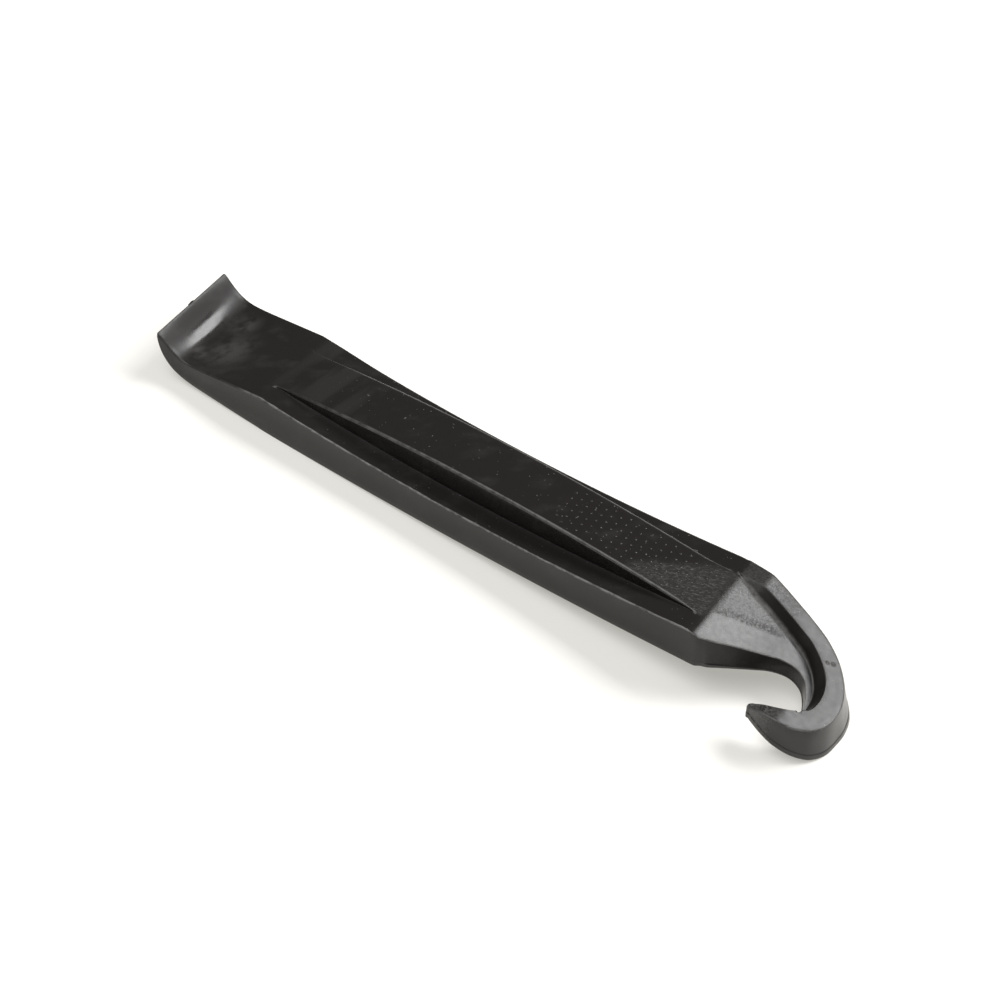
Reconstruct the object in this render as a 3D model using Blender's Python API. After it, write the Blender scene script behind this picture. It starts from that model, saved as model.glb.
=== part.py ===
"""Tyre lever: one moulded nylon bar, with a curled spoon at one end and a spoke hook at the other.

+X runs along the lever from the spoon to the hook, -Y is the side that the hook opens to, +Z is up.
The lever is drawn level in its own frame, in millimetres, with its belly touching z = 0. An empty
then rocks it forward, so that it stands on its belly and on the lowest edge of its hook.
"""

from math import atan2, cos, pi, radians, sin

import bmesh
import bpy
from mathutils import Vector

MM = 0.001

# Bar: side view along X, heights above the belly
HALF_WIDTH = 7.5
TIP = (-38.45, 9.2)           # edge of the curled lip
LIP_THICKNESS = 0.45
LIP_LEAN = 0.05               # the lip's lower edge stands this far past its upper edge
VALLEY = (-32.7, 5.72)        # lowest point of the spoon's face
KINK = (-19.5, 7.3)           # ridge where the spoon's face meets the dished ledges
RAMP = (55.7, 9.3)            # ridge where the ledges meet the hook's sloping web
LEDGE_DISH = 2.19             # how far the ledges sag below the line from KINK to RAMP
SPOON_HEEL = (-31.2, 1.4)     # underside, where the spoon starts to curl up
BELLY_START = (-16.0, 0.22)
BELLY_END = (57.4, 2.65)
BELLY_SAG = 1.01
LIP_BACK = (TIP[0] - LIP_LEAN, TIP[1] - LIP_THICKNESS)

# The spoon's curves, each with the four points of a Bezier curve
LIP_FACE = (TIP, (-37.0, 8.3), (-36.2, VALLEY[1]), VALLEY)
SPOON_FACE = (VALLEY, (-30.7, VALLEY[1]), (-27.0, 6.35), KINK)
BELLY_CURL = (BELLY_START, (-22.0, 0.42), (-27.0, 0.98), SPOON_HEEL)
SPOON_BACK = (SPOON_HEEL, (-36.2, 1.9), (-38.5, 3.9), LIP_BACK)

# Rib along the middle of the bar
RIB_HALF_WIDTH = 4.29
RIB_START = (-18.1, 7.46)
RIB_END = (53.9, 9.26)
RIB_RISE = 2.21               # how far the rib's top arches above the line between its ends
RIB_ROOT = 5.0                # height of the rib's lower edge, which is buried in the bar
RIB_ROOT_INSET = 3.0

# Hook: its rim's top slopes down evenly, its web slopes faster, and its underside is arched
RIM_START = (59.6, 8.9)
RIM_SLOPE = 0.30
WEB_SLOPE = 0.42
HOOK_HEEL = (77.7, -3.15)     # lowest edge of the hook
UNDERSIDE_RISE = 1.4          # how far the underside arches above the line to HOOK_HEEL
HOOK_REACH = 80.0             # past the end of the hook
BACK_CORNER = (57.8, 7.5)     # plan view, where the straight back edge turns into the hook
THROAT_CORNER = (57.3, -7.5)

# Plan view, in order from the back corner round the hook to the throat's corner
HOOK_BACK = ((60.6, 7.15), (65.0, 6.25), (69.3, 4.95), (72.6, 3.2), (75.0, 1.2), (76.7, -1.2),
             (77.35, -3.9), (77.1, -6.4), (76.0, -8.6), (73.9, -10.15), (71.3, -10.75),
             (68.6, -10.45))
HOOK_TIP = ((66.9, -9.95), (66.5, -9.4), (67.0, -8.9))
HOOK_THROAT = ((68.7, -9.05), (70.6, -8.75), (72.0, -8.1), (72.9, -7.2), (72.9, -5.8),
               (72.4, -4.3), (71.5, -2.6), (70.3, -1.25), (68.8, -0.8), (67.2, -1.15),
               (64.9, -2.4), (62.0, -4.15), (59.0, -6.25))

# Rim: the hook's web is sunk between this line and the throat
RIM_INNER = ((59.5, 5.0), (62.5, 4.6), (66.5, 3.4), (70.0, 2.1), (72.3, 0.6), (74.0, -1.7),
             (74.6, -4.2), (74.2, -6.1), (73.6, -7.0), (72.7, -7.5))
RIM_INNER_START = (55.8, 4.75)
POCKET_MOUTH = ((71.0, -6.8), (67.0, -7.6), (62.0, -12.0), (52.0, -12.0), (52.0, 4.75))

# Hook tip: a worn facet on its top, beyond this line in -Y
FACET_TOP = (70.2, 5.8)
FACET_FOOT = (65.5, 2.6)
TIP_SIDE = -7.2
TIP_DEPTH = 10.0              # the facet's cut reaches this far past TIP_SIDE

# Rest: the lever rocks forward by this angle, and stands on two small flats
REST_TILT = radians(2.06)
FOOT_TRIM = 0.03
FLOOR_BLOCK = (200.0, 100.0, 20.0)

ARC_STEPS = 16
CURVE_STEPS = 4
BEZIER_STEPS = 8
CUTTER_REACH = 30.0           # well past the lever on every side
WELD = 0.000001

NYLON = {"color": (0.012, 0.0118, 0.0112, 1.0), "roughness": 0.42, "metallic": 0.0}


def arc(start, end, sagitta, steps=ARC_STEPS):
    """Points on a circular arc from start up to, but without, end; it bulges to +Z where sagitta > 0."""
    chord = Vector(end) - Vector(start)
    half = chord.length / 2
    radius = (half ** 2 + sagitta ** 2) / (2 * abs(sagitta))
    side = 1 if sagitta > 0 else -1
    across = Vector((-chord.y, chord.x)).normalized() * side * (1 if chord.x > 0 else -1)
    middle = (Vector(start) + Vector(end)) / 2
    centre = middle - across * (radius - abs(sagitta))
    first = Vector(start) - centre
    last = Vector(end) - centre
    sweep = atan2(first.x * last.y - first.y * last.x, first.dot(last))
    points = []
    for step in range(steps):
        angle = sweep * step / steps
        points.append((centre.x + first.x * cos(angle) - first.y * sin(angle),
                       centre.y + first.x * sin(angle) + first.y * cos(angle)))
    return points


def bezier(corners, steps=BEZIER_STEPS):
    """Points on a Bezier curve (start, handle, handle, end), from its start up to, but without, its end."""
    points = []
    for step in range(steps):
        t = step / steps
        weights = ((1 - t) ** 3, 3 * t * (1 - t) ** 2, 3 * t ** 2 * (1 - t), t ** 3)
        points.append(tuple(sum(w * c[axis] for w, c in zip(weights, corners)) for axis in (0, 1)))
    return points


def smooth(points, steps=CURVE_STEPS):
    """A Catmull-Rom curve through the points, with its ends included."""
    fine = []
    for index in range(len(points) - 1):
        before = Vector(points[max(index - 1, 0)])
        here = Vector(points[index])
        there = Vector(points[index + 1])
        after = Vector(points[min(index + 2, len(points) - 1)])
        handle_a = here + (there - before) / 6
        handle_b = there - (after - here) / 6
        fine += bezier((here, handle_a, handle_b, there), steps)
    fine.append(tuple(points[-1]))
    return fine


def side_profile():
    """The bar's outline seen from -Y: its top from spoon to hook, and back along its underside."""
    outline = bezier(LIP_FACE) + bezier(SPOON_FACE) + arc(KINK, RAMP, -LEDGE_DISH)
    rim_end = (HOOK_REACH, RIM_START[1] - RIM_SLOPE * (HOOK_REACH - RIM_START[0]))
    outline += [RAMP, RIM_START, rim_end, (HOOK_REACH, HOOK_HEEL[1])]
    outline += arc(HOOK_HEEL, BELLY_END, UNDERSIDE_RISE)
    outline += arc(BELLY_END, BELLY_START, -BELLY_SAG)
    outline += bezier(BELLY_CURL) + bezier(SPOON_BACK)
    outline.append(LIP_BACK)
    return outline


def plan_outline():
    """The lever's outline seen from above."""
    past_lip = -CUTTER_REACH * 2
    outline = [(past_lip, -HALF_WIDTH), (past_lip, HALF_WIDTH)]
    outline += smooth((BACK_CORNER,) + HOOK_BACK)
    outline += smooth(HOOK_TIP)
    outline += smooth(HOOK_THROAT + (THROAT_CORNER,))
    return outline


def rib_profile():
    """The rib's lens seen from -Y; its lower edge is buried in the bar."""
    root = [(RIB_END[0] - RIB_ROOT_INSET, RIB_ROOT), (RIB_START[0] + RIB_ROOT_INSET, RIB_ROOT)]
    return arc(RIB_START, RIB_END, RIB_RISE) + [RIB_END] + root


def web_profile():
    """Everything above the hook's web, seen from -Y."""
    foot = RAMP[1] - WEB_SLOPE * (HOOK_REACH - RAMP[0])
    return [RAMP, (HOOK_REACH, foot), (HOOK_REACH, CUTTER_REACH), (RAMP[0], CUTTER_REACH)]


def mesh_from_curve(curve_object, collection):
    """Turn a filled curve into a welded mesh object in the same place, with the curve's name."""
    bpy.context.view_layer.update()
    evaluated = curve_object.evaluated_get(bpy.context.evaluated_depsgraph_get())
    mesh = bpy.data.meshes.new_from_object(evaluated)
    shape = bmesh.new()
    shape.from_mesh(mesh)
    bmesh.ops.remove_doubles(shape, verts=shape.verts, dist=WELD)
    bmesh.ops.recalc_face_normals(shape, faces=shape.faces)
    shape.to_mesh(mesh)
    shape.free()
    name = curve_object.name
    place = curve_object.matrix_world.copy()
    bpy.data.objects.remove(curve_object)
    solid = bpy.data.objects.new(name, mesh)
    solid.matrix_world = place
    collection.objects.link(solid)
    return solid


def prism(name, outline, collection, seen_from_side, middle=0.0, half_depth=CUTTER_REACH):
    """A flat outline with thickness: drawn in XZ where seen_from_side, otherwise in XY."""
    curve = bpy.data.curves.new(name, "CURVE")
    curve.dimensions = "2D"
    curve.fill_mode = "BOTH"
    curve.extrude = half_depth * MM
    spline = curve.splines.new("POLY")
    spline.points.add(len(outline) - 1)
    for point, place in zip(spline.points, outline):
        point.co = (place[0] * MM, place[1] * MM, 0, 1)
    spline.use_cyclic_u = True
    drawn = bpy.data.objects.new(name, curve)
    if seen_from_side:
        drawn.rotation_euler = (pi / 2, 0, 0)
        drawn.location = (0, middle * MM, 0)
    else:
        drawn.location = (0, 0, middle * MM)
    collection.objects.link(drawn)
    return mesh_from_curve(drawn, collection)


def combine(body, tool, operation):
    """Join, cut or trim the body with a tool, which then only shows as wires."""
    tool.hide_render = True
    tool.display_type = "WIRE"
    step = body.modifiers.new(tool.name, "BOOLEAN")
    step.operation = operation
    step.solver = "EXACT"
    step.object = tool


def nylon_material():
    """Black satin nylon."""
    material = bpy.data.materials.new("black_nylon")
    material.use_nodes = True
    shader = material.node_tree.nodes["Principled BSDF"]
    shader.inputs["Base Color"].default_value = NYLON["color"]
    shader.inputs["Roughness"].default_value = NYLON["roughness"]
    shader.inputs["Metallic"].default_value = NYLON["metallic"]
    return material


def build_lever(parts, cutters):
    """The whole lever as one solid, with the tools that shape it."""
    body = prism("lever_body", side_profile(), parts, seen_from_side=True)
    outline = prism("plan_outline", plan_outline(), cutters, seen_from_side=False)
    rib = prism("rib", rib_profile(), cutters, seen_from_side=True, half_depth=RIB_HALF_WIDTH)
    pocket_shape = [RIM_INNER_START] + smooth(RIM_INNER) + list(POCKET_MOUTH)
    pocket = prism("web_pocket", pocket_shape, cutters, seen_from_side=False)
    above_web = prism("above_web", web_profile(), cutters, seen_from_side=True)
    combine(pocket, above_web, "INTERSECT")
    facet_shape = [FACET_FOOT, FACET_TOP, (FACET_TOP[0], CUTTER_REACH), (FACET_FOOT[0], CUTTER_REACH)]
    facet = prism("tip_facet", facet_shape, cutters, True, TIP_SIDE - TIP_DEPTH / 2, TIP_DEPTH / 2)

    combine(body, outline, "INTERSECT")
    combine(body, rib, "UNION")
    combine(body, pocket, "DIFFERENCE")
    combine(body, facet, "DIFFERENCE")
    return body


def rest_on_floor(frame, body, cutters):
    """Rock the lever onto its belly and hook, centre it over the origin, and flatten where it stands."""
    frame.rotation_euler = (0, -REST_TILT, 0)
    bpy.context.view_layer.update()
    evaluated = body.evaluated_get(bpy.context.evaluated_depsgraph_get())
    corners = [evaluated.matrix_world @ vertex.co for vertex in evaluated.data.vertices]
    low = Vector([min(c[axis] for c in corners) for axis in range(3)])
    high = Vector([max(c[axis] for c in corners) for axis in range(3)])
    middle = (low + high) / 2
    frame.location -= Vector((middle.x, middle.y, low.z + FOOT_TRIM * MM))

    bpy.ops.mesh.primitive_cube_add(size=1.0)
    floor = bpy.context.active_object
    floor.name = "floor_trim"
    floor.scale = [length * MM for length in FLOOR_BLOCK]
    floor.location = (0, 0, -FLOOR_BLOCK[2] * MM / 2)
    bpy.ops.object.transform_apply(location=False, rotation=False, scale=True)
    for collection in list(floor.users_collection):
        collection.objects.unlink(floor)
    cutters.objects.link(floor)
    combine(body, floor, "DIFFERENCE")


def main():
    for existing in list(bpy.data.objects):
        bpy.data.objects.remove(existing)
    parts = bpy.data.collections.new("tyre_lever")
    cutters = bpy.data.collections.new("cutters")
    bpy.context.scene.collection.children.link(parts)
    bpy.context.scene.collection.children.link(cutters)

    frame = bpy.data.objects.new("lever_frame", None)
    parts.objects.link(frame)
    body = build_lever(parts, cutters)
    for solid in list(parts.objects) + list(cutters.objects):
        if solid is not frame:
            solid.parent = frame
    rest_on_floor(frame, body, cutters)
    body.data.materials.append(nylon_material())


main()
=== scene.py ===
"""Tyre lever: the fine visual mesh, its nylon, the light and the camera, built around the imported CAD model.

The mesh is lofted in the lever's own frame, in millimetres, where the bar lies level: X runs from the spoon
to the hook, -Y is the side that the hook opens to, Z is up. placement() then sets it where the CAD solid is.
"""

import math

import bmesh
import bpy
import numpy as np
from mathutils import Matrix, Vector, noise


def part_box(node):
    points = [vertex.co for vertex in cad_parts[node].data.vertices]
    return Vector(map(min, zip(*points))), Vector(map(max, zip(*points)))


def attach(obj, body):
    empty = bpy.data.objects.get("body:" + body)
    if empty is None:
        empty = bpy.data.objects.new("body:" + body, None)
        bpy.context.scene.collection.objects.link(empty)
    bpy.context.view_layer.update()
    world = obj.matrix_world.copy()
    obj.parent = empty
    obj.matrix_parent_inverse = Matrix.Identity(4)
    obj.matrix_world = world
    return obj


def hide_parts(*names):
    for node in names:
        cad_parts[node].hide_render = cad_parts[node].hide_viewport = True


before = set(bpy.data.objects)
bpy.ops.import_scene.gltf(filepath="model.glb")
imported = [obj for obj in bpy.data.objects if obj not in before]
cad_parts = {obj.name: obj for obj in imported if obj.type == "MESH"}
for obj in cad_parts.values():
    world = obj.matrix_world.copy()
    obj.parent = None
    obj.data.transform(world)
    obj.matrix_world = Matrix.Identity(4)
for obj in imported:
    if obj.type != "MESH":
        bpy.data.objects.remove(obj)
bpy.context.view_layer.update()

MM = 0.001
REST_TILT = math.radians(2.06)   # how far the lever rocks forward when it lies on belly and hook

# Bar, seen from the side
HALF_WIDTH = 7.5
TIP = (-38.45, 9.2)              # edge of the CAD's curled lip
LIP = (-38.45, 9.22)             # edge of the fine lip, before its rounded nose
LIP_THICKNESS = 0.45
LIP_LEAN = 0.05                  # the lip's lower edge lies this far beyond its upper one
VALLEY = (-32.7, 5.72)           # lowest point of the spoon's face
KINK = (-19.5, 7.3)              # crease where the spoon's face meets the dished ledges
RAMP = (55.7, 9.3)               # ridge where the ledges meet the hook's web
LEDGE_DISH = 2.19
SPOON_HEEL = (-31.2, 1.4)        # underside, where the spoon starts to curl up
BELLY_START = (-16.0, 0.22)
BELLY_END = (57.4, 2.65)
BELLY_SAG = 1.01

# Handles of the spoon's curves
FACE_HANDLES = ((-27.0, 6.35), (-30.7, 5.72))    # from the crease down to the valley
LIP_HANDLES = ((-36.2, 5.72), (-37.0, 8.3))      # from the valley up to the lip
BELLY_HANDLES = ((-22.0, 0.42), (-27.0, 0.98))   # from the belly to the heel
CURL_HANDLES = ((-36.2, 1.9), (-38.5, 3.9))      # from the heel up to the lip

# Bar and spoon, seen from above
WALL_DRAFT = 0.26                # the sides lean out by this much from top to bottom
SIDE_SWELL = 0.08                # the moulded sides stand this far outside the CAD's flat ones
LIP_FLARE = 0.3                  # the near side stands out by this much at the lip
THIN_SPOON = 3.0                 # the draft fades where the spoon is thinner than this
FAR_SWELL = 0.19                 # the spoon's far side stands out by this much, and fades into the bar
FAR_SWELL_END = -17.0            # from here on it fades
FAR_SWELL_REACH = 6.0            # over about this length
SPOON_DISH = 0.65                # how far the spoon's face sags between its sides
DISH_AT = 0.78                   # the deepest place, as a share of the way from the crease to the lip
CORNER_ROUND = 0.4               # the lip's two corners, in plan view
NOSE_ROUND = 0.2                 # how far the lip's rounded edge stands out

# Rib
RIB_HALF_WIDTH = 4.29
RIB_START = (-18.1, 7.46)
RIB_END = (53.9, 9.26)
RIB_RISE = 2.21
RIB_BLEND = 0.35                 # the rib's end runs into the ledges softly over this height
RIB_BLEND_FROM = 30.0
RIB_WIDENS_FROM = 50.0           # the rib's far side steps out from here
RIB_WIDENS_OVER = 5.0
RIB_WIDENS_BY = 0.2

# Hook
RIM_START = (59.6, 8.9)          # ridge where the rim starts to slope down
RIM_SLOPE = 0.30
RIM_BLEND = 0.09
WEB_SLOPE = 0.42
HOOK_HEEL = (77.7, -3.15)
UNDERSIDE_RISE = 1.4
FACET_HEIGHT = 5.8               # the worn top of the hook's tip falls away from here
FACET_START = 70.2
FACET_SLOPE = 0.68
FACET_BLEND = 2.0                # the facet starts softly over this height
RIDGE_BLEND = 0.9                # the ledges turn into the web softly over this height
THROAT_LIFT = 0.9                # the underside rises this much for each unit of the throat's flare
LEAST_WEB = 0.15                 # the narrowest that the pocket's wall and the web get
WEB_LINES = (0.35, 0.7)          # where two lines of points run on the web, as shares of its width
HOOK_EDGE_FROM = 56.5            # the bar's edges turn into the hook's from here
HOOK_EDGE_OVER = 3.0

# Hook rows, from the bar round to the tip: outer point, inner point, width of the rim, run of the wall
# inside it, how far the wall is gone (1 where the rim has the full width), flare of the outer and inner foot
HOOK_ROWS = (
    (55.9, 7.58, 55.9, -7.58, 2.80, 0.10, 0, 0.3, 0.3),
    (57.0, 7.60, 56.9, -7.52, 2.80, 0.70, 0, 0.3, 0.3),
    (58.1, 7.62, 57.7, -7.05, 2.70, 1.00, 0, 0.25, 0.4),
    (59.6, 7.58, 58.9, -6.30, 2.55, 1.45, 0, 0.2, 1.2),
    (61.6, 7.20, 60.4, -5.23, 2.45, 1.40, 0, 0.2, 1.6),
    (64.5, 6.48, 62.5, -3.85, 2.40, 1.25, 0, 0.2, 1.7),
    (67.7, 5.60, 64.6, -2.55, 2.42, 1.15, 0, 0.25, 1.6),
    (70.6, 4.55, 66.6, -1.40, 2.45, 1.10, 0, 0.5, 1.3),
    (73.4, 2.80, 68.8, -0.80, 2.60, 1.15, 0, 0.95, 0.9),
    (75.55, 0.55, 70.4, -1.30, 2.70, 1.40, 0, 1.4, 0.35),
    (76.8, -1.75, 71.5, -2.60, 2.85, 1.45, 0, 0.95, 0.2),
    (77.3, -4.00, 72.4, -4.30, 2.95, 1.45, 0, 0.45, 0.2),
    (77.1, -6.30, 72.95, -5.90, 3.05, 1.20, 0, 0.35, 0.2),
    (76.2, -8.20, 73.05, -6.80, 3.30, 0.20, 0.35, 0.3, 0.2),
    (75.1, -9.25, 72.75, -7.45, 2.90, 0.12, 1, 0.3, 0.2),
    (73.5, -10.25, 71.8, -8.20, 2.50, 0.12, 1, 0.15, 0.2),
    (71.3, -10.70, 70.6, -8.75, 2.00, 0.12, 1, 0.1, 0.15),
    (69.4, -10.58, 69.5, -8.98, 1.50, 0.12, 1, 0.0, 0.1),
    (68.0, -10.23, 68.3, -9.02, 1.10, 0.12, 1, 0.0, 0.1),
    (67.1, -9.93, 67.4, -9.05, 0.80, 0.12, 1, 0.0, 0.1),
)
HOOK_END = (66.62, -9.55)        # where the last rows draw together

# Edges
EDGE_ROUND = 0.27
RIB_ROUND = 0.42
HOOK_ROUND = 0.24
RIM_ROUND = 0.12
FOOT_ROUND = 0.02
BASE_ROUND = 0.15
POCKET_ROUND = 0.6
POCKET_SHARE = 0.9               # the pocket's rounding takes at most this share of its wall
WEB_ROUNDS = (0.3, 0.2)
THROAT_ROUND = 0.16
SLIGHT_ROUND = 0.05
SPOON_LINE_ROUND = 0.2
LARGEST_SHARE = 0.45             # a rounding takes at most this share of an edge
FLANGE_HEIGHT = 1.0              # the parting line runs this far above the underside
FLANGE_STEP = 0.09
FLANGE_SLOPE = 1.18              # the flange ends at this many times its height
FLANGE_PARTS = 10                # its step takes at most one part in this many of the section's width
INNER_FLANGE = 0.3               # inside the hook it takes at most this share of the wall
INNER_SLOPE = 0.04
WALL_GAP = 0.05                  # the rib's wall leans out by this much
FLUSH_GAP = 0.5                  # spacing of the rib's two lines where it has no height yet
FLUSH_HEIGHT = 0.3               # the lines draw together as the rib rises this high

# Mesh density
WELD = 0.000001
BAR_STEP = 0.45
BAR_PAST_RIB = 1.7               # the bar's sections end this far past the rib
ROW_STEPS = 7
FILLET_STEPS = 4
SPOON_STATIONS = 60
SPOON_CROWDING = 0.85            # under 1, the stations stand closer together towards the lip
FACE_STEPS = 40
CURL_STEPS = 60
BELLY_STEPS = 80
LIP_TURNS = (30, 55, 75, 88)     # degrees round the lip's nose
TIP_TURNS = (25, 45, 62, 76, 87)
TIP_FLATTENING = 0.25
RIB_SAMPLES = 400                # places where the rib's highest point is looked for
FLAT_FACES_FIRST = 60            # how much large faces weigh in the shading of the edges between them
TINY = 1e-9

# Divisions of the straight edge after each of a section's twelve corners
SPANS = (2, 1, 3, 4, 1, 12, 1, 4, 3, 1, 2, 16)

# How much each of those corners catches wear and a painted highlight, both as a paler colour
CORNER_WEAR_AND_GLINT = (0, 0, 0, 0.6, 0, 0.45, 0.5, 0, 1, 0, 0, 0)


def lens(x, start, end, rise):
    """Height of a shallow arc from start to end that rises above its chord by rise."""
    (x0, z0), (x1, z1) = start, end
    t = (x - x0) / (x1 - x0)
    return z0 + (z1 - z0) * t + 4 * rise * t * (1 - t)


def soft_min(a, b, width):
    """The smaller of a and b, with the corner between them rounded over width."""
    gap = max(width - abs(a - b), 0.0) / width
    return min(a, b) - gap * gap * width / 4


def ledge(x):
    """The height of the dished ledges."""
    return lens(x, KINK, RAMP, -LEDGE_DISH)


def rib(x):
    """The height of the rib's arch."""
    return lens(x, RIB_START, RIB_END, RIB_RISE)


def web(x):
    """The height of the sunken web."""
    return RAMP[1] - WEB_SLOPE * (x - RAMP[0])


def rim(x):
    """The ledge's end, the short flat behind the web's wall, and the rim's slope."""
    flat = RAMP[1] + (RIM_START[1] - RAMP[1]) * (x - RAMP[0]) / (RIM_START[0] - RAMP[0])
    slope = RIM_START[1] - RIM_SLOPE * (x - RIM_START[0])
    return soft_min(flat, slope, RIM_BLEND)


def bezier(a, b, c, d, count):
    """Points along a curve from a to d with the handles b and c."""
    t = np.linspace(0, 1, count)[:, None]
    a, b, c, d = (np.array(p) for p in (a, b, c, d))
    return a * (1 - t) ** 3 + 3 * b * t * (1 - t) ** 2 + 3 * c * t * t * (1 - t) + d * t ** 3


BELLY_CURL = bezier(BELLY_START, *BELLY_HANDLES, SPOON_HEEL, BELLY_STEPS)


def underside(x):
    """The height of the underside along the middle."""
    if x < BELLY_START[0]:
        return float(np.interp(-x, -BELLY_CURL[:, 0], BELLY_CURL[:, 1]))
    if x > BELLY_END[0]:
        return lens(x, BELLY_END, HOOK_HEEL, UNDERSIDE_RISE)
    return lens(x, BELLY_START, BELLY_END, -BELLY_SAG)


def resample(points, at):
    """Points at the given shares of the polyline's length."""
    steps = np.linalg.norm(np.diff(points, axis=0), axis=1)
    along = np.concatenate([[0], np.cumsum(steps)]) / steps.sum()
    return np.stack([np.interp(at, along, points[:, k]) for k in range(points.shape[1])], axis=1)


def catmull(rows, steps):
    """A smooth curve through the rows, one column at a time."""
    rows = np.array(rows)
    ends = np.vstack([2 * rows[0] - rows[1], rows, 2 * rows[-1] - rows[-2]])
    out = []
    for a, b, c, d in zip(ends, ends[1:], ends[2:], ends[3:]):
        for t in np.arange(steps) / steps:
            out.append(
                0.5 * (2 * b + (c - a) * t + (2 * a - 5 * b + 4 * c - d) * t ** 2
                       + (3 * b - a - 3 * c + d) * t ** 3)
            )
    out.append(rows[-1])
    return np.array(out)


def section(outer_foot, outer_top, marks, inner_top, inner_foot, rounds, flange=0.0):
    """The twelve corners of one closed section, with the rounding that each one has."""
    step = FLANGE_HEIGHT / max((outer_top - outer_foot).length, FLANGE_HEIGHT * 2)
    wall_out = outer_foot.lerp(outer_top, step)
    wall_out_up = outer_foot.lerp(outer_top, step * FLANGE_SLOPE)
    wall_in = inner_foot + Vector((0, 0, (inner_top.z - inner_foot.z) * min(step, INNER_FLANGE)))
    wall_in_up = wall_in.lerp(inner_top, INNER_SLOPE)
    across = (outer_foot - inner_foot).normalized()
    proud = across * min(flange, (outer_foot - inner_foot).length / FLANGE_PARTS)
    corners = [outer_foot + proud, wall_out + proud, wall_out_up, outer_top, *marks, inner_top,
               wall_in_up, wall_in - proud, inner_foot - proud]
    return corners, rounds


def edge_wear(x):
    """How much sharper or duller than usual the moulded edge is at x; it swings around 1."""
    slow = noise.noise(Vector((x * 0.35, 3.7, 0.2)))
    quick = noise.noise(Vector((x * 1.3, 9.1, 0)))
    return 1 + 0.4 * slow + 0.25 * quick


def bar_top(x):
    """The ledges, which end in a softened ridge."""
    return soft_min(ledge(x), web(x), RIDGE_BLEND)


def rib_top(x):
    """The rib's arch, which runs out smoothly into the ledges at the hook's end."""
    top = bar_top(x)
    if x < RIB_START[0]:
        return KINK[1] + (RIB_START[1] - KINK[1]) * (x - KINK[0]) / (RIB_START[0] - KINK[0])
    if x < RIB_BLEND_FROM:
        return max(rib(x), top)
    return soft_min(-soft_min(-rib(x), -ledge(x), RIB_BLEND), web(x), RIDGE_BLEND)


def far_swell(x):
    """How far the far side stands out at x."""
    return SIDE_SWELL + FAR_SWELL * math.exp(-(max(x - FAR_SWELL_END, 0) / FAR_SWELL_REACH) ** 2)


def bar_section(x):
    """The bar with its rib, cut across at x."""
    top, foot = bar_top(x), underside(x)
    high = rib_top(x)
    edge = EDGE_ROUND * edge_wear(x)
    flush = max(0.0, 1 - (high - top) / FLUSH_HEIGHT)
    gap = WALL_GAP + FLUSH_GAP * flush
    near = RIB_HALF_WIDTH
    far = near
    if x > RIB_WIDENS_FROM:
        far = near + RIB_WIDENS_BY * min((x - RIB_WIDENS_FROM) / RIB_WIDENS_OVER, 1) ** 2
    side = HALF_WIDTH + SIDE_SWELL
    far_side = HALF_WIDTH + far_swell(x)
    marks = [Vector((x, far + gap, top)), Vector((x, far, high)),
             Vector((x, -near, high)), Vector((x, -near - gap, top))]
    rounds = [BASE_ROUND, SLIGHT_ROUND, SLIGHT_ROUND, EDGE_ROUND, FOOT_ROUND, RIB_ROUND,
              RIB_ROUND, FOOT_ROUND, edge, SLIGHT_ROUND, SLIGHT_ROUND, BASE_ROUND]
    return section(Vector((x, far_side + WALL_DRAFT, foot)), Vector((x, far_side, top)), marks,
                   Vector((x, -side, top)), Vector((x, -side - WALL_DRAFT, foot)), rounds)


def hook_top(x, shut):
    """The rim's height, with the worn facet of the tip."""
    if shut < 0.5:
        return rim(x)
    facet = FACET_HEIGHT - FACET_SLOPE * (FACET_START - x)
    return soft_min(rim(x), facet, FACET_BLEND)


def hook_section(row):
    """The hook cut across at one row: rim, pocket wall and web between the two outlines."""
    xo, yo, xi, yi, width, run, shut, flare_out, flare_in = row
    outer, inner = Vector((xo, yo)), Vector((xi, yi))
    across = (inner - outer).normalized()
    length = (inner - outer).length
    width = min(width, length - 2 * LEAST_WEB)
    run = min(run, length - width - LEAST_WEB)
    shut = min(max(shut, 0.0), 1.0)

    def surface(at, depth):
        """A point of the top: depth 0 is the rim, 1 the web."""
        p = outer + across * at
        high = hook_top(p.x, shut)
        low = min(bar_top(p.x), high)
        return Vector((p.x, p.y, high + (low - high) * depth))

    def foot(p, way, lift=0.0):
        """The point of the underside below p, moved along way."""
        q = p + way
        return Vector((q.x, q.y, underside(min(q.x, HOOK_HEEL[0])) + lift))

    floor_at = width + run
    left = length - floor_at
    sunk = 1 - shut
    marks = [surface(width, 0), surface(floor_at, sunk)]
    marks += [surface(floor_at + left * share, sunk) for share in WEB_LINES]
    lift = THROAT_LIFT * max(flare_in - WALL_DRAFT, 0)
    pocket = min(POCKET_ROUND, run * POCKET_SHARE)
    grown = min(max((xi - HOOK_EDGE_FROM) / HOOK_EDGE_OVER, 0), 1)
    edge = EDGE_ROUND + (HOOK_ROUND - EDGE_ROUND) * grown
    rounds = [BASE_ROUND, SLIGHT_ROUND, SLIGHT_ROUND, edge, RIM_ROUND, pocket, *WEB_ROUNDS,
              THROAT_ROUND, SLIGHT_ROUND, SLIGHT_ROUND, BASE_ROUND]
    return section(foot(outer, -across * flare_out), surface(0, 0), marks,
                   surface(length, sunk), foot(inner, across * flare_in, lift), rounds, FLANGE_STEP * grown)


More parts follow.
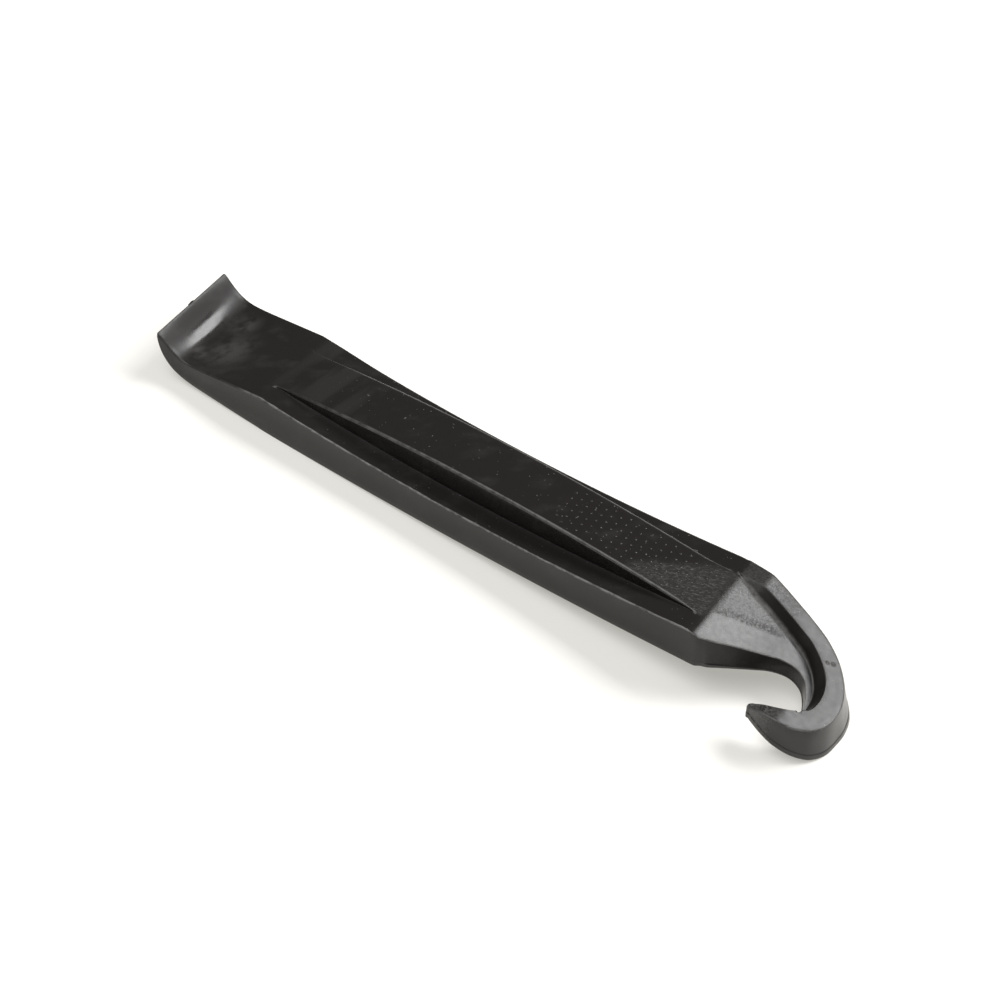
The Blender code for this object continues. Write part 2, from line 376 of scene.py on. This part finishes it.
def spoon_curves():
    """The spoon's face and its underside, both from the crease to the lip, as (x, z)."""
    face = np.vstack([bezier(KINK, *FACE_HANDLES, VALLEY, FACE_STEPS),
                      bezier(VALLEY, *LIP_HANDLES, LIP, FACE_STEPS)[1:]])
    lip_foot = (LIP[0] - LIP_LEAN, LIP[1] - LIP_THICKNESS)
    start = [(KINK[0], underside(KINK[0]))]
    curl = bezier(SPOON_HEEL, *CURL_HANDLES, lip_foot, CURL_STEPS)[1:]
    return face, np.vstack([start, BELLY_CURL[BELLY_CURL[:, 0] < KINK[0]], curl])


def dish_depth(share):
    """How deep the face sags at this share of the way from the crease to the lip."""
    if share < DISH_AT:
        t = share / DISH_AT
        return SPOON_DISH * t * t * (3 - 2 * t)
    return SPOON_DISH * (1 - ((share - DISH_AT) / (1 - DISH_AT)) ** 2)


def dished(points, share):
    """The section's points with the face, but not the sides and the underside, pressed down."""
    heights = [p.z for p, worn in points]
    middle = (min(heights) + max(heights)) / 2
    depth = dish_depth(min(share, 1))
    for p, worn in points:
        if p.z > middle:
            p.z -= depth * max(1 - (p.y / HALF_WIDTH) ** 2, 0)
    return points


def spoon_rings():
    """Sections that lean more and more towards the lip, and then the lip's rounded nose."""
    face, under = spoon_curves()
    share = np.linspace(0, 1, SPOON_STATIONS + 1)[1:] ** SPOON_CROWDING
    tops, feet = resample(face, share), resample(under, share)
    lip_length = np.linalg.norm(np.diff(face, axis=0), axis=1).sum()
    out = Vector((tops[-1] - tops[-2])).normalized()
    rings = []
    for top, foot, s in zip(tops, feet, share):
        left = (1 - s) * lip_length
        rings.append(dished(ring(*spoon_section(top, foot, left + NOSE_ROUND, s)), s))
    top, foot = Vector(tops[-1]), Vector(feet[-1])
    middle, half = (top + foot) / 2, (top - foot) / 2
    for turn in LIP_TURNS:
        a = math.radians(turn)
        push = out * NOSE_ROUND * math.sin(a)
        t = middle + half * math.cos(a) + push
        f = middle - half * math.cos(a) + push
        rings.append(ring(*spoon_section(t, f, NOSE_ROUND * (1 - math.sin(a)), 1)))
    return rings


def spoon_section(top, foot, left, share):
    """The spoon cut across. left is the way to the lip's edge, where its two corners are rounded."""
    pull = 0.0
    if left < CORNER_ROUND:
        pull = CORNER_ROUND - math.sqrt(max(CORNER_ROUND ** 2 - (CORNER_ROUND - left) ** 2, 0))
    near_half = HALF_WIDTH + SIDE_SWELL + LIP_FLARE * share ** 4 - pull
    far_half = HALF_WIDTH + far_swell(top[0]) - pull
    thick = top[1] - foot[1]
    draft = WALL_DRAFT * min(1, thick / THIN_SPOON)

    def at(y):
        """The point of the top at y."""
        return Vector((top[0], y, top[1]))

    near = RIB_HALF_WIDTH
    marks = [at(near + FLUSH_GAP), at(near), at(-near), at(-near - FLUSH_GAP)]
    edge = min(EDGE_ROUND, thick / 2)
    wall = [edge, SLIGHT_ROUND, SLIGHT_ROUND, edge]
    rounds = wall + [SPOON_LINE_ROUND] * 4 + wall
    return section(Vector((foot[0], far_half + draft, foot[1])), at(far_half), marks, at(-near_half),
                   Vector((foot[0], -near_half - draft, foot[1])), rounds)


def turning(before, corner, after):
    """0 where the section runs straight on through the corner, 1 from about 30 degrees."""
    a, b = corner - before, after - corner
    if min(a.length, b.length) < TINY:
        return 0.0
    return min(a.normalized().cross(b.normalized()).length * 2, 1)


def ring(corners, rounds):
    """The section's points with their wear and painted highlight: each corner a short curve, each edge
    divided evenly.
    """
    count = len(corners)
    curves = []
    for i in range(count):
        corner = corners[i]
        back = corners[i - 1] - corner
        on = corners[(i + 1) % count] - corner
        reach = min(rounds[i], LARGEST_SHARE * back.length, LARGEST_SHARE * on.length)
        a = corner + back.normalized() * reach if back.length > TINY else corner.copy()
        b = corner + on.normalized() * reach if on.length > TINY else corner.copy()
        curves.append([(a * (1 - t) + corner * t) * (1 - t) + (corner * (1 - t) + b * t) * t
                       for t in (k / FILLET_STEPS for k in range(FILLET_STEPS + 1))])
    points = []
    for i in range(count):
        turned = turning(corners[i - 1], corners[i], corners[(i + 1) % count])
        # how pale this corner is painted: wear and a painted highlight
        worn = CORNER_WEAR_AND_GLINT[i] * turned
        for k, p in enumerate(curves[i]):
            points.append((p, worn * math.sin(math.pi * k / FILLET_STEPS)))
        start, end = curves[i][-1], curves[(i + 1) % count][0]
        points += [(start.lerp(end, k / SPANS[i]), 0.0) for k in range(1, SPANS[i])]
    return points


def placement():
    """From the level lever frame, in millimetres, to where the CAD solid lies, in metres."""
    low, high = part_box("lever_body")
    turn = Matrix.Rotation(-REST_TILT, 4, "Y")
    lip = turn @ Vector((TIP[0] - LIP_LEAN, 0, TIP[1] - LIP_THICKNESS))
    along = np.linspace(RIB_START[0], RIB_END[0], RIB_SAMPLES)
    highest = max((turn @ Vector((x, 0, rib(x)))).z for x in along)
    shift = Vector((low.x / MM - lip.x, high.y / MM - HALF_WIDTH, high.z / MM - highest))
    return Matrix.Scale(MM, 4) @ Matrix.Translation(shift) @ turn


def add_mesh(name, points, faces, material, place, wear=None):
    """A smooth mesh at its place, which remembers the lever frame's millimetres for its material."""
    mesh = bpy.data.meshes.new(name)
    mesh.from_pydata([tuple(place @ Vector(p)) for p in points], [], faces)
    mesh.update()
    spots = mesh.attributes.new("lever_mm", "FLOAT_VECTOR", "POINT")
    spots.data.foreach_set("vector", np.array([tuple(p) for p in points], dtype=np.float32).ravel())
    # each point's paleness: wear and a painted highlight on the top edges and the pips
    edges = mesh.attributes.new("edge_wear", "FLOAT", "POINT")
    edges.data.foreach_set("value", np.array(wear or [0.0] * len(points), dtype=np.float32))
    edit = bmesh.new()
    edit.from_mesh(mesh)
    bmesh.ops.remove_doubles(edit, verts=edit.verts, dist=WELD)
    bmesh.ops.recalc_face_normals(edit, faces=edit.faces)
    edit.to_mesh(mesh)
    edit.free()
    mesh.polygons.foreach_set("use_smooth", [True] * len(mesh.polygons))
    piece = bpy.data.objects.new(name, mesh)
    bpy.context.scene.collection.objects.link(piece)
    mesh.materials.append(material)
    even = piece.modifiers.new("flat faces first", "WEIGHTED_NORMAL")
    even.mode = "FACE_AREA"
    even.weight = FLAT_FACES_FIRST
    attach(piece, "root")
    return piece


def lever_sections():
    """All the closed rings of points, from the spoon's lip to the hook's tip."""
    bar = [bar_section(x) for x in np.arange(KINK[0], RIB_END[0] + BAR_PAST_RIB, BAR_STEP)]
    hook = [hook_section(row) for row in catmull(HOOK_ROWS, ROW_STEPS)]
    return spoon_rings()[::-1] + [ring(*s) for s in bar + hook] + hook_nose(hook[-1])


def hook_nose(last):
    """The hook's tip: the last section drawn in to a rounded end."""
    base = ring(*last)
    middle = sum((p for p, worn in base), Vector()) / len(base)
    end = Vector((HOOK_END[0], HOOK_END[1], middle.z))
    rings = []
    for turn in TIP_TURNS:
        a = math.radians(turn)
        centre = middle.lerp(end, math.sin(a))
        shrink = math.cos(a)
        squeeze = Vector((shrink, shrink, 1 - TIP_FLATTENING + TIP_FLATTENING * shrink))
        rings.append([(centre + (p - middle) * squeeze, worn) for p, worn in base])
    return rings


def band_faces(base, levels, sides):
    """The faces between a stack of closed rings of points, the first of which starts at base."""
    faces = []
    for level in range(levels - 1):
        low = base + level * sides
        for k in range(sides):
            n = (k + 1) % sides
            faces.append((low + k, low + n, low + sides + n, low + sides + k))
    return faces


def build_lever(place, material):
    """The whole moulding, which stands for the CAD solid and lies on the same surface."""
    rings = lever_sections()
    size = len(rings[0])
    points = [p for r in rings for p, worn in r]
    wear = [worn for r in rings for p, worn in r]
    faces = band_faces(0, len(rings), size)
    faces.append(tuple(range(size))[::-1])
    faces.append(tuple(range((len(rings) - 1) * size, len(rings) * size)))
    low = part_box("lever_body")[0].z
    lever = add_mesh("lever_moulding", points, faces, material, place, wear)
    for v in lever.data.vertices:
        v.co.z = max(v.co.z, low)
    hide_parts("lever_body")
    return lever


# Grip pips, in a staggered grid on the rib's top
PIP_FIRST = 30.15
PIP_COLUMNS = 19
PIP_ROWS = (5, 6)                # in the even and in the odd columns
PIP_COLUMN_STEP = 1.248
PIP_ROW_STEP = 1.227
PIP_RADIUS = 0.2
PIP_HEIGHT = 0.09
# how pale the pips' tops are painted: wear and a painted highlight
PIP_WEAR_AND_GLINT = 0.12
PIP_WORN_AWAY = 52.5             # the pips are rubbed lower and lower towards here
PIP_FADE = 7.0
PIP_LOWEST = 0.2                 # the share of their height that the last ones keep
PIP_SIDES = 10
PIP_LEVELS = ((1.0, -0.4), (1.0, 0.0), (0.86, 0.45), (0.6, 0.8), (0.3, 0.96))  # radius, height, as shares


def pip_centres():
    """Each pip's place and height, column by column."""
    for column in range(PIP_COLUMNS):
        x = PIP_FIRST + column * PIP_COLUMN_STEP
        height = PIP_HEIGHT * min(1, max((PIP_WORN_AWAY - x) / PIP_FADE, PIP_LOWEST))
        rows = PIP_ROWS[column % 2]
        for row in range(rows):
            yield x, (row - (rows - 1) / 2) * PIP_ROW_STEP, height


def pip_points(x, y, height):
    """One dome's points with their wear and painted highlight: rings from inside the rib upwards, then its
    top.
    """
    points = []
    for share, rise in PIP_LEVELS:
        for k in range(PIP_SIDES):
            a = 2 * math.pi * k / PIP_SIDES
            px = x + PIP_RADIUS * share * math.cos(a)
            py = y + PIP_RADIUS * share * math.sin(a)
            points.append((Vector((px, py, rib(px) + rise * height)), PIP_WEAR_AND_GLINT * max(rise, 0)))
    points.append((Vector((x, y, rib(x) + height)), PIP_WEAR_AND_GLINT))
    return points


def build_pips(place, material):
    """Small domes, each a closed cap that sits a little way into the rib."""
    points, faces, wear = [], [], []
    for x, y, height in pip_centres():
        base = len(points)
        for point, worn in pip_points(x, y, height):
            points.append(point)
            wear.append(worn)
        faces += band_faces(base, len(PIP_LEVELS), PIP_SIDES)
        top = len(points) - 1
        last = top - PIP_SIDES
        for k in range(PIP_SIDES):
            faces.append((last + k, last + (k + 1) % PIP_SIDES, top))
        faces.append(tuple(range(base, base + PIP_SIDES))[::-1])
    return add_mesh("grip_pips", points, faces, material, place, wear)


# Gate mark: the stub that is left where the nylon entered the mould, on the lip's edge
GATE_SIZE = (0.32, 0.75, 0.22)
GATE_Y = 0.2
GATE_OUT = 0.15                  # its middle lies this far beyond the lip's edge
GATE_SIDES = 14
GATE_LEVELS = 7
GATE_TORN = 0.28                 # how far the torn surface swings in and out, as a share


def build_gate_mark(place, material):
    """A small torn lump, closed all round."""
    centre = Vector((LIP[0] - GATE_OUT, GATE_Y, LIP[1] - LIP_THICKNESS / 2))
    points = []
    for level in range(1, GATE_LEVELS):
        b = math.pi * level / GATE_LEVELS
        for k in range(GATE_SIDES):
            a = 2 * math.pi * k / GATE_SIDES
            way = Vector((math.sin(b) * math.cos(a), math.cos(b), math.sin(b) * math.sin(a)))
            torn = 1 + GATE_TORN * noise.noise(way * 2.1 + Vector((4.2, 0, 1.3)))
            points.append(centre + Vector(c * size * torn for c, size in zip(way, GATE_SIZE)))
    faces = band_faces(0, GATE_LEVELS - 1, GATE_SIDES)
    points += [centre + Vector((0, GATE_SIZE[1], 0)), centre - Vector((0, GATE_SIZE[1], 0))]
    last = (GATE_LEVELS - 2) * GATE_SIDES
    for k in range(GATE_SIDES):
        n = (k + 1) % GATE_SIDES
        faces.append((n, k, len(points) - 2))
        faces.append((last + k, last + n, len(points) - 1))
    return add_mesh("gate_mark", points, faces, material, place)


# Nylon
NYLON_IOR = 1.36
NYLON = (0.0112, 0.0099, 0.0089, 1)
# the pale colour of rubbed nylon, also used for the painted highlights and reflections
PALE_NYLON_FOR_WEAR_AND_GLINT = (0.19, 0.188, 0.182, 1)
GLOSS = (0.17, 0.22)             # roughness of the untouched surface, from its shiniest to its dullest
BUMP_STRENGTH = 0.5
BUMP_DISTANCE = 0.00003

# How far each kind of wear, and each painted highlight and reflection, turns the nylon's colour to the pale
# one
PALE_SHARES = {"scratch": 0.25, "cloudy": 0.12, "patches": 0.14, "pits": 0.35, "specks": 0.4, "worn": 0.85}
PALE_RIB_END = 0.05

# How much each kind of wear adds to the roughness
DULL_SHARES = {"gritty_web": 0.12, "gritty_drag": 0.12, "scratch": 0.1, "patches": 0.12, "pitted": 0.12,
               "pits": 0.2}

# Spots in plan view: centre, radii, softness, turn in degrees
SPOON_SPOTS = (
    ((-31.6, 3.6), (1.6, 2.2), 0.9, 20),
    ((-29.9, -1.6), (2.6, 3.4), 0.9, 30),
    ((-33.4, -4.2), (1.1, 1.3), 0.8, 0),
)
POLISHED_LIP = ((-35.6, -0.3), (1.2, 5.1), 0.6)
PITTED_SPOTS = (
    ((67.4, -9.6), (3.4, 2.4), 0.5),     # the hook's tip
    ((72.9, 2.0), (0.34, 0.26), 0.5),    # two small dents in the rim
    ((72.2, 1.6), (0.3, 0.2), 0.5),
)


class Nodes:
    """Adds shader nodes to one material and joins them."""

    def __init__(self, material):
        self.tree = material.node_tree

    def add(self, kind, inputs=None, **settings):
        node = self.tree.nodes.new("ShaderNode" + kind)
        for name, value in settings.items():
            setattr(node, name, value)
        for name, value in (inputs or {}).items():
            self.put(value, node.inputs[name])
        return node

    def put(self, value, socket):
        """Links a socket to an input, or sets the input to a plain value."""
        if isinstance(value, bpy.types.NodeSocket):
            self.tree.links.new(value, socket)
        else:
            socket.default_value = value

    def maths(self, operation, a, b=0.0, clamp=False):
        return self.add("Math", {0: a, 1: b}, operation=operation, use_clamp=clamp).outputs[0]

    def times(self, *values):
        """The product of all the values."""
        product = values[0]
        for value in values[1:]:
            product = self.maths("MULTIPLY", product, value)
        return product

    def largest(self, *values):
        """The largest of all the values."""
        most = values[0]
        for value in values[1:]:
            most = self.maths("MAXIMUM", most, value)
        return most

    def ramp(self, value, low, high, to_low=0.0, to_high=1.0):
        """Value mapped smoothly from low..high to to_low..to_high."""
        inputs = {"Value": value, "From Min": low, "From Max": high, "To Min": to_low, "To Max": to_high}
        return self.add("MapRange", inputs, interpolation_type="SMOOTHSTEP").outputs["Result"]

    def noise(self, vector, scale, detail=3.0, rough=0.5):
        inputs = {"Vector": vector, "Scale": scale, "Detail": detail, "Roughness": rough}
        return self.add("TexNoise", inputs).outputs["Fac"]

    def turned(self, vector, degrees, stretch):
        """The plan turned about Z, then scaled along each axis by stretch."""
        turn = self.add("VectorRotate", {"Vector": vector, "Angle": math.radians(degrees)},
                        rotation_type="Z_AXIS").outputs[0]
        return self.add("VectorMath", {0: turn, 1: stretch}, operation="MULTIPLY").outputs[0]

    def spot(self, vector, centre, radii, soft, turn=0.0):
        """1 inside an ellipse in plan view, 0 outside."""
        moved = self.add("VectorMath", {0: vector, 1: (*centre, 0)}, operation="SUBTRACT").outputs[0]
        shaped = self.turned(moved, turn, (1 / radii[0], 1 / radii[1], 0))
        length = self.add("VectorMath", {0: shaped}, operation="LENGTH").outputs["Value"]
        return self.ramp(length, 1 - soft, 1 + soft, 1.0, 0.0)

    def broken(self, mask, grain, low, high):
        """The mask, broken up by the grain."""
        return self.times(mask, self.ramp(grain, low, high))


def rubbed_places(n, mm, x, y, flat):
    """Where the nylon is rubbed: the rib's last third, the web's upper part, a drag mark on the web."""
    cloud = n.times(n.maths("SUBTRACT", n.noise(mm, 0.8, 4.0), 0.5), 3.0)
    past = n.maths("ADD", n.maths("SUBTRACT", x, n.times(y, 1.6)), cloud)
    on_rib = n.ramp(n.maths("ABSOLUTE", y), 4.1, 4.6, 1.0, 0.0)
    rib_end = n.times(n.ramp(past, 45.5, 48.5), n.ramp(x, 41.0, 45.0),
                      n.ramp(x, 54.6, 56.0, 1.0, 0.0), on_rib)
    side = n.maths("SUBTRACT", y, n.times(n.maths("SUBTRACT", x, 58.0), 0.48))
    side = n.maths("ADD", side, n.times(cloud, 0.3))
    along = n.times(n.ramp(x, 55.4, 56.4), n.ramp(x, 63.0, 67.5, 1.0, 0.0))
    web = n.times(n.ramp(side, -2.1, -1.6), along)
    drag = n.times(n.ramp(side, -2.3, -1.8), n.ramp(side, -1.5, -0.2, 1.0, 0.0), along)
    return [n.times(mask, flat) for mask in (rib_end, web, drag)]


def spoon_patches_and_rib_reflection(n, mm, x, y):
    """Mottled patches behind the lip, and faint pale stripes across the start of the rib, a painted
    reflection of its slight waviness.
    """
    patches = n.largest(*(n.spot(mm, *spot) for spot in SPOON_SPOTS))
    patches = n.broken(patches, n.noise(n.turned(mm, 25, (1.0, 0.7, 1.0)), 0.45, 3.0, 0.5), 0.38, 0.64)
    # faint pale stripes: a painted reflection of the rib's slight waviness
    stripes = n.noise(n.turned(mm, 9, (1.0, 0.2, 1.0)), 0.3, 2.0, 0.4)
    zone = n.times(n.ramp(x, -24.0, -15.0), n.ramp(x, -8.0, 2.0, 1.0, 0.0), n.ramp(y, -4.7, -4.0))
    return n.maths("ADD", patches, n.times(n.broken(zone, stripes, 0.46, 0.64), 0.3), clamp=True)


def pale_wear_and_glint_on_edges(n, mm, x, y):
    """Pale along the moulded top edges and the pips' tops, partly wear and partly a painted highlight, which
    fades on the spoon and on the rib's first part.
    """
    edge = n.add("Attribute", attribute_name="edge_wear").outputs["Fac"]
    far_line = n.times(n.ramp(y, 0.0, 1.0), n.ramp(x, -9.0, -13.0))
    rib_line = n.times(n.ramp(y, -6.0, -5.0), n.ramp(x, -2.0, -14.0, 0.0, 0.7))
    no_pale_edge = n.largest(far_line, rib_line, n.ramp(x, -21.0, -24.0, 0.0, 0.85))
    patchy = n.ramp(n.noise(mm, 0.7, 5.0, 0.65), 0.3, 0.62, 0.25, 1.0)
    return n.times(edge, n.maths("SUBTRACT", 1.0, no_pale_edge), patchy)


def wear_and_glint_masks(n, mm, x, y, flat):
    """Every kind of wear, painted highlight and painted reflection by its name, from 0 to 1, and the two
    grains that break it up.
    """
    rib_end, web, drag = rubbed_places(n, mm, x, y, flat)
    pitted = n.largest(*(n.spot(mm, *spot) for spot in PITTED_SPOTS))
    streaks = n.noise(n.turned(mm, -22, (0.7, 4.0, 1.0)), 2.2, 5.0, 0.65)
    grit = n.noise(mm, 3.2, 4.0, 0.7)
    clouds = n.noise(n.turned(mm, -35, (0.6, 1.0, 1.0)), 0.3, 3.0, 0.55)
    past_spoon = n.times(flat, n.ramp(x, -16.0, -8.0))
    return {
        "rib_end": rib_end,
        "web": web,
        "pitted": pitted,
        "streaks": streaks,
        "grit": grit,
        "cloudy": n.ramp(clouds, 0.5, 0.75, 0.0, 0.35),
        # the spoon's patches, with the painted reflection stripes at the rib's start
        "patches": spoon_patches_and_rib_reflection(n, mm, x, y),
        "scratch": n.broken(n.largest(rib_end, n.times(web, 0.4)), streaks, 0.47, 0.64),
        "pits": n.broken(pitted, grit, 0.42, 0.6),
        "specks": n.broken(past_spoon, n.noise(mm, 2.6, 1.0), 0.74, 0.77),
        # the top edges' and pips' paleness: wear and a painted highlight
        "worn": pale_wear_and_glint_on_edges(n, mm, x, y),
        "gritty_web": n.broken(web, grit, 0.3, 0.7),
        "gritty_drag": n.broken(drag, grit, 0.3, 0.6),
    }


def nylon_colour(n, masks):
    """The nylon's black, mixed towards the pale colour where it is worn and where highlights and reflections
    are painted.
    """
    pale = n.times(masks["rib_end"], PALE_RIB_END)
    for name, share in PALE_SHARES.items():
        pale = n.maths("MAXIMUM", pale, n.times(masks[name], share), clamp=True)
    return n.add("MixRGB", {"Fac": pale, "Color1": NYLON, "Color2": PALE_NYLON_FOR_WEAR_AND_GLINT}).outputs[0]


def nylon_roughness(n, mm, x, up, masks):
    """Shiny where the lip is polished, duller on the hook's upper faces and wherever the nylon is worn."""
    gloss = n.ramp(n.noise(mm, 1.2, 4.0), 0.3, 0.7, *GLOSS)
    lip = n.ramp(x, -33.2, -34.8)
    unpolished = n.times(lip, n.ramp(n.spot(mm, *POLISHED_LIP), 0.0, 1.0, 0.2, -0.02))
    hook_end = n.maths("ADD", n.ramp(x, 55.0, 57.0, 0.0, 0.08), n.ramp(x, 60.0, 65.0, 0.0, 0.05))
    hook_end = n.times(hook_end, n.ramp(up, 0.15, 0.4))
    extras = [hook_end, unpolished]
    extras += [n.times(masks[name], share) for name, share in DULL_SHARES.items()]
    for extra in extras:
        gloss = n.maths("ADD", gloss, extra, clamp=True)
    return gloss


def nylon_bump(n, mm, masks):
    """Fine moulded grain, streaks where the nylon is rubbed, and holes where it is pitted."""
    fine = n.times(n.noise(mm, 9.0, 2.0, 0.6), 0.12)
    rough = n.times(n.largest(masks["rib_end"], n.times(masks["web"], 0.5)), masks["streaks"])
    dug = n.times(masks["pitted"], masks["grit"], 4.0)
    height = n.maths("ADD", fine, n.maths("ADD", rough, dug))
    settings = {"Height": height, "Strength": BUMP_STRENGTH, "Distance": BUMP_DISTANCE}
    return n.add("Bump", settings).outputs["Normal"]


def nylon():
    """Satin black nylon, with its wear and its painted highlights and reflections placed by the millimetres
    that add_mesh keeps on each point.
    """
    material = bpy.data.materials.new("black_nylon")
    material.use_nodes = True
    n = Nodes(material)
    shader = material.node_tree.nodes["Principled BSDF"]
    shader.inputs["IOR"].default_value = NYLON_IOR
    mm = n.add("Attribute", attribute_name="lever_mm").outputs["Vector"]
    x, y = n.add("SeparateXYZ", {"Vector": mm}).outputs[:2]
    up = n.add("SeparateXYZ", {"Vector": n.add("NewGeometry").outputs["Normal"]}).outputs[2]
    flat = n.ramp(up, 0.78, 0.9)
    masks = wear_and_glint_masks(n, mm, x, y, flat)
    n.put(nylon_colour(n, masks), shader.inputs["Base Color"])
    n.put(nylon_roughness(n, mm, x, up, masks), shader.inputs["Roughness"])
    n.put(nylon_bump(n, mm, masks), shader.inputs["Normal"])
    return material


# Camera, in the lever frame: it looks down at the lever from the hook's side
CAMERA_TURN = math.radians(35.944)
CAMERA_DROP = math.radians(50.185)
CAMERA_EYE = (153.36, -185.61, 278.35)
CAMERA_LENS = 89.91
CAMERA_SENSOR = 36.0
CAMERA_NEAR = 0.01


def camera(place):
    """The photograph's camera, found from the bar's converging edges."""
    right = Vector((math.cos(CAMERA_TURN), math.sin(CAMERA_TURN), 0))
    away = Vector((-math.sin(CAMERA_TURN), math.cos(CAMERA_TURN), 0))
    up = Vector((0, 0, 1))
    view_up = up * math.cos(CAMERA_DROP) + away * math.sin(CAMERA_DROP)
    back = up * math.sin(CAMERA_DROP) - away * math.cos(CAMERA_DROP)
    axes = Matrix((right, view_up, back)).transposed().to_4x4()
    pose = place @ Matrix.Translation(CAMERA_EYE) @ axes
    turn = place.to_3x3().normalized() @ axes.to_3x3()
    data = bpy.data.cameras.new("camera")
    data.sensor_width = CAMERA_SENSOR
    data.lens = CAMERA_LENS
    data.clip_start = CAMERA_NEAR
    obj = bpy.data.objects.new("camera", data)
    obj.matrix_world = Matrix.Translation(pose.to_translation()) @ turn.to_4x4()
    bpy.context.scene.collection.objects.link(obj)
    bpy.context.scene.camera = obj


# Soft lamps, in metres and watts: name, shape, direction from the lever, distance, width, height, power
SOFTBOXES = (
    ("key", "RECTANGLE", (0.42, 0.52, 0.75), 0.8, 0.5, 0.26, 7.6),
    ("overhead", "DISK", (-0.2, -0.25, 1.0), 0.9, 0.8, 0.8, 5.8),
    ("side", "RECTANGLE", (0.8, 0.5, 0.22), 1.0, 0.6, 0.35, 1.8),
)
ROOM_LIGHT = 0.2
FLOOR_REACH = 3.0
PAPER = (0.52, 0.51, 0.495, 1)
PAPER_ROUGHNESS = 0.9
PAPER_GLOW = (1, 0.98, 0.9, 1)   # stands for the light that a bright studio throws back under the lever
PAPER_GLOW_STRENGTH = 0.38


def softbox(name, shape, towards, distance, width, height, power, target):
    """An area lamp that faces the target, with its width across the lever's length."""
    data = bpy.data.lights.new(name, "AREA")
    data.shape = shape
    data.size = width
    data.size_y = height
    data.energy = power
    obj = bpy.data.objects.new(name, data)
    way = Vector(towards).normalized()
    obj.location = target + way * distance
    across = (Vector((1, 0, 0)) - way * way.x).normalized()
    obj.rotation_euler = Matrix((across, way.cross(across), way)).transposed().to_euler()
    bpy.context.scene.collection.objects.link(obj)


def paper():
    """Plain white paper."""
    material = bpy.data.materials.new("paper")
    material.use_nodes = True
    shader = material.node_tree.nodes["Principled BSDF"]
    shader.inputs["Base Color"].default_value = PAPER
    shader.inputs["Roughness"].default_value = PAPER_ROUGHNESS
    shader.inputs["Emission Color"].default_value = PAPER_GLOW
    shader.inputs["Emission Strength"].default_value = PAPER_GLOW_STRENGTH
    return material


def floor(height):
    """The pale surface that the lever lies on."""
    corners = [(-FLOOR_REACH, -FLOOR_REACH, height), (FLOOR_REACH, -FLOOR_REACH, height),
               (FLOOR_REACH, FLOOR_REACH, height), (-FLOOR_REACH, FLOOR_REACH, height)]
    mesh = bpy.data.meshes.new("floor")
    mesh.from_pydata(corners, [], [(0, 1, 2, 3)])
    mesh.materials.append(paper())
    obj = bpy.data.objects.new("floor", mesh)
    bpy.context.scene.collection.objects.link(obj)


def studio():
    """Even light from all round, three soft lamps and the floor."""
    low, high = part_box("lever_body")
    scene = bpy.context.scene
    scene.view_settings.view_transform = "Standard"
    world = bpy.data.worlds.new("studio")
    scene.world = world
    world.use_nodes = True
    background = world.node_tree.nodes["Background"]
    background.inputs["Color"].default_value = (1, 1, 1, 1)
    background.inputs["Strength"].default_value = ROOM_LIGHT
    for lamp in SOFTBOXES:
        softbox(*lamp, (low + high) / 2)
    floor(low.z)


place = placement()
black = nylon()
build_lever(place, black)
build_pips(place, black)
build_gate_mark(place, black)
camera(place)
studio()
